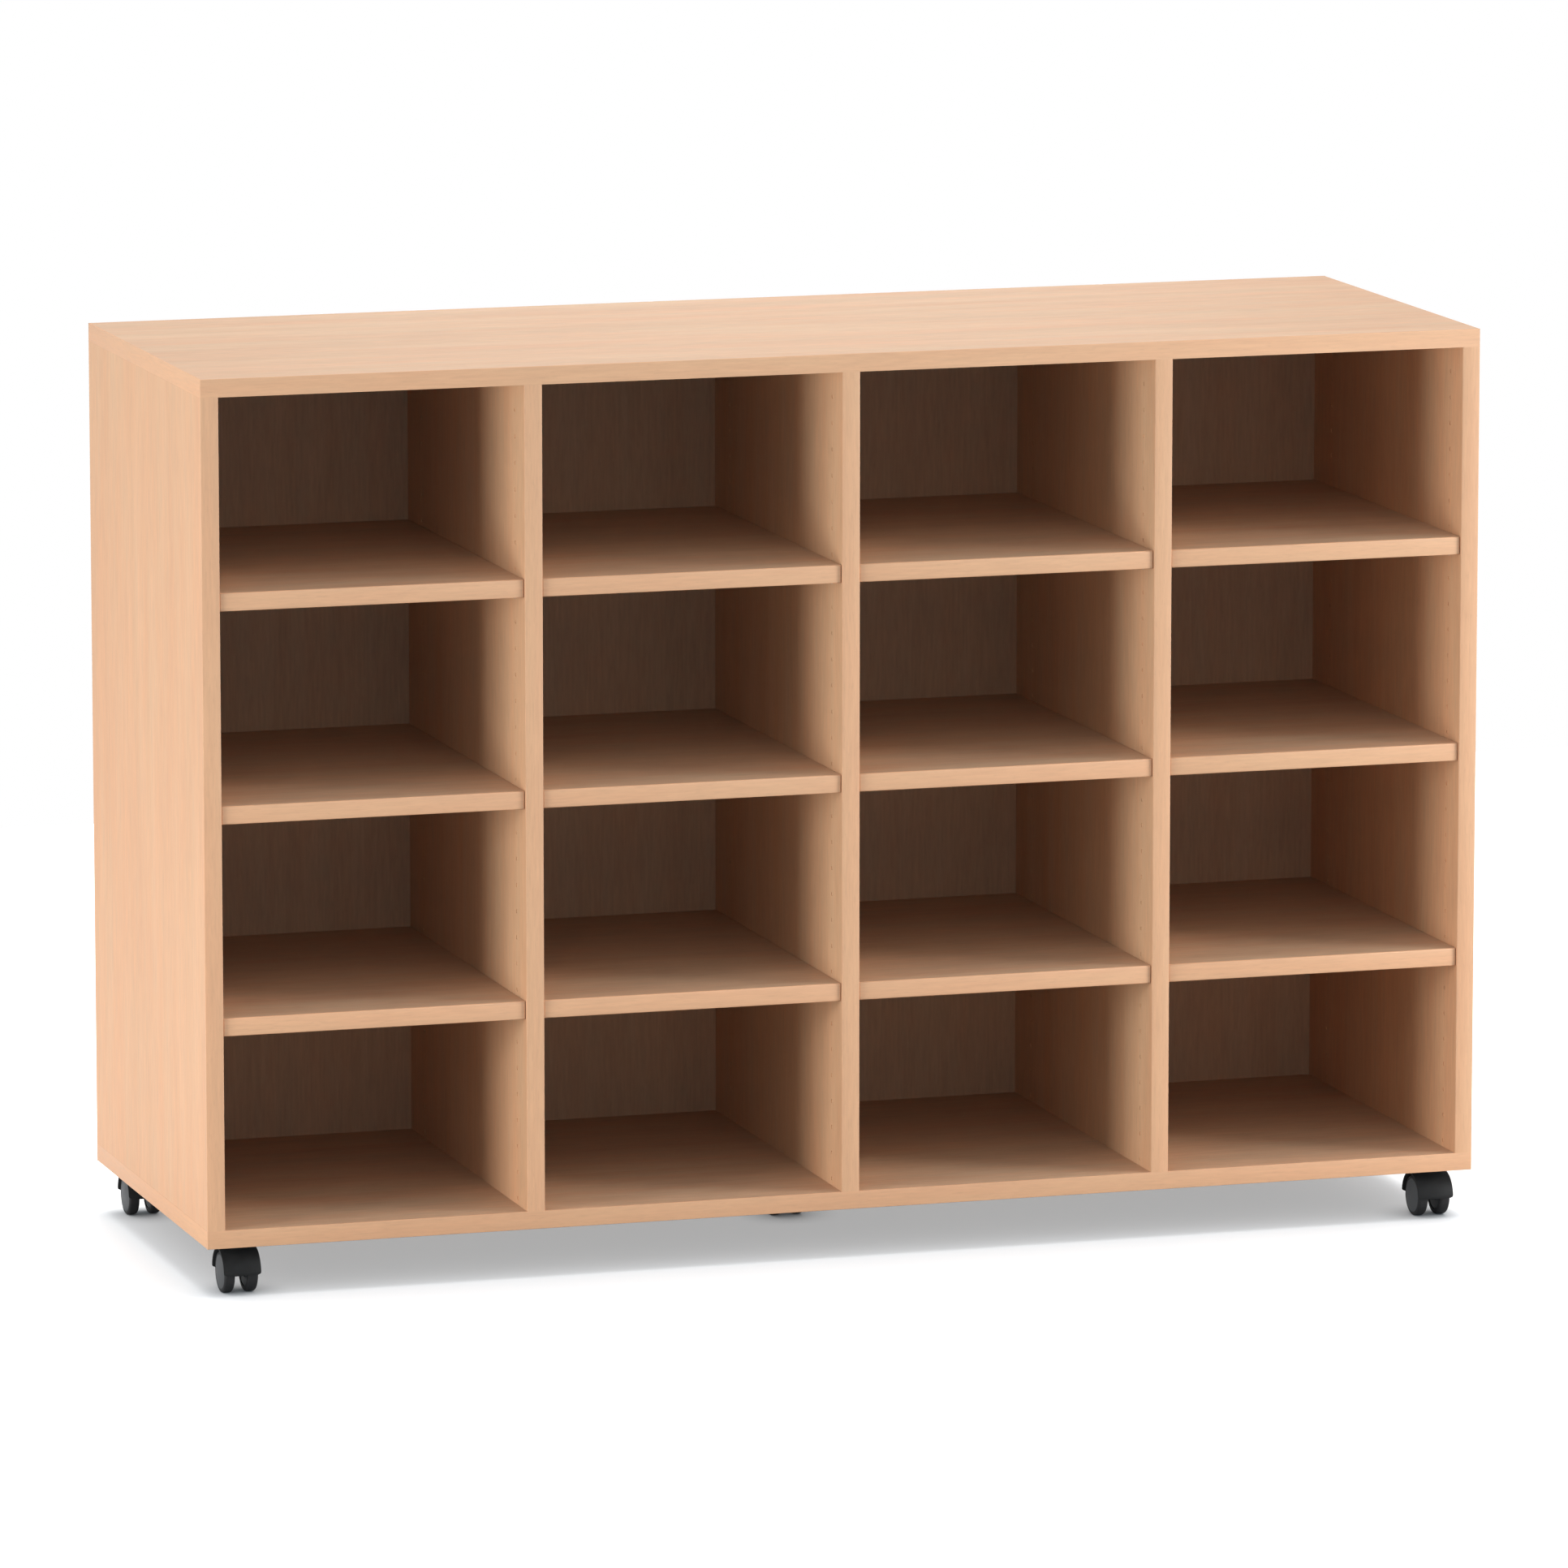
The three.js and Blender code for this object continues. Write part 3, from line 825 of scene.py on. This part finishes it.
def floor_material():
    """White where it is lit and grey in the object's shadow, and clear when looked at from below."""
    material = bpy.data.materials.new("floor_white")
    nodes = NodeTree(material)
    # Ambient occlusion dims the floor's glow close to the object: painted contact shade
    painted_contact_shade = nodes.add("ShaderNodeAmbientOcclusion", {"samples": CONTACT_SAMPLES}, Distance=CONTACT_REACH)
    bright = nodes.add("ShaderNodeBsdfDiffuse", Color=FLOOR_LIT)
    dull = nodes.add("ShaderNodeBsdfDiffuse", Color=FLOOR_BOUNCE)
    glow = nodes.add("ShaderNodeEmission", Color=PLAIN_WHITE)
    nodes.put(glow, "Strength", nodes.math("MULTIPLY", painted_contact_shade.outputs["AO"], FLOOR_SHADOW_LEVEL))
    both = nodes.add("ShaderNodeAddShader")
    nodes.put(both, "0", bright.outputs[0])
    nodes.put(both, "1", glow.outputs[0])
    top = nodes.choose(nodes.seen_directly(), dull.outputs[0], both.outputs[0])
    below = nodes.add("ShaderNodeNewGeometry").outputs["Backfacing"]
    clear = nodes.add("ShaderNodeBsdfTransparent").outputs[0]
    output = nodes.add("ShaderNodeOutputMaterial")
    nodes.put(output, "Surface", nodes.choose(below, top, clear))
    return material


def white_floor():
    bm = bmesh.new()
    bmesh.ops.create_grid(bm, x_segments=1, y_segments=1, size=FLOOR_HALF)
    mesh = bpy.data.meshes.new("floor")
    bm.to_mesh(mesh)
    bm.free()
    mesh.materials.append(floor_material())
    floor = bpy.data.objects.new("floor", mesh)
    bpy.context.scene.collection.objects.link(floor)
    return floor


def pale_world():
    """A sky for the light, and plain white for what the camera sees."""
    world = bpy.data.worlds.new("studio")
    bpy.context.scene.world = world
    nodes = NodeTree(world)
    parts = nodes.add("ShaderNodeSeparateXYZ")
    nodes.put(parts, "Vector", nodes.add("ShaderNodeTexCoord").outputs["Generated"])
    sky = nodes.ramp(parts.outputs["Z"], (HORIZON_HEIGHT, HORIZON), (SKY_HEIGHT, SKY), (1.0, SKY))
    light = nodes.add("ShaderNodeBackground", Strength=1.0)
    nodes.put(light, "Color", sky)
    white = nodes.add("ShaderNodeBackground", Color=PLAIN_WHITE, Strength=1.0)
    output = nodes.add("ShaderNodeOutputWorld")
    nodes.put(output, "Surface", nodes.choose(nodes.seen_directly(), light.outputs[0], white.outputs[0]))


def soft_lamp(name, floor, spot, aim, side, watts, floor_state):
    """A square lamp; floor_state says if the floor is the only thing it lights or the one it spares."""
    lamp = bpy.data.lights.new(name, "AREA")
    lamp.shape = "RECTANGLE"
    lamp.size = side
    lamp.size_y = side
    lamp.energy = watts
    holder = bpy.data.objects.new(name, lamp)
    holder.location = spot
    holder.rotation_euler = (Vector(aim) - Vector(spot)).to_track_quat("-Z", "Y").to_euler()
    bpy.context.scene.collection.objects.link(holder)
    lit = bpy.data.collections.new(name + "_lights")
    lit.objects.link(floor)
    lit.collection_objects[0].light_linking.link_state = floor_state
    holder.light_linking.receiver_collection = lit


MIDDLE = (0.0, 0.0, 0.55)
FLOOR_AIM = (0.0, -0.3, 0.0)
LAMP_SIDE = 1.6
WASH_SIDE = 5.0
floor = white_floor()
pale_world()
soft_lamp("overhead", floor, (0.0, 0.0, 5.1), MIDDLE, LAMP_SIDE, 52.0, "EXCLUDE")
soft_lamp("left_key", floor, (-4.8, -1.6, 0.7), MIDDLE, LAMP_SIDE, 156.0, "EXCLUDE")
soft_lamp("right_fill", floor, (4.5, -2.3, 1.1), MIDDLE, LAMP_SIDE, 226.0, "EXCLUDE")
soft_lamp("rear_fill", floor, (1.5, 5.0, 0.7), MIDDLE, LAMP_SIDE, 90.0, "EXCLUDE")
soft_lamp("floor_wash", floor, (0.7, 1.0, 5.6), FLOOR_AIM, WASH_SIDE, 660.0, "INCLUDE")


# Camera, solved from the photograph's edges
CAMERA_SPOT = (-3.9495, -12.7725, 2.8076)
CAMERA_TURN = 17.1886
CAMERA_TILT = 9.6304
LENS_MM = 252.75
SENSOR_MM = 36.0
FAR_CLIP = 100.0
camera = bpy.data.cameras.new("camera")
camera.lens = LENS_MM
camera.sensor_width = SENSOR_MM
camera.clip_end = FAR_CLIP
holder = bpy.data.objects.new("camera", camera)
holder.location = CAMERA_SPOT
holder.rotation_euler = (math.radians(90.0 - CAMERA_TILT), 0.0, math.radians(-CAMERA_TURN))
bpy.context.scene.collection.objects.link(holder)
bpy.context.scene.camera = holder
bpy.context.scene.view_settings.view_transform = "Standard"

bpy.context.view_layer.update()
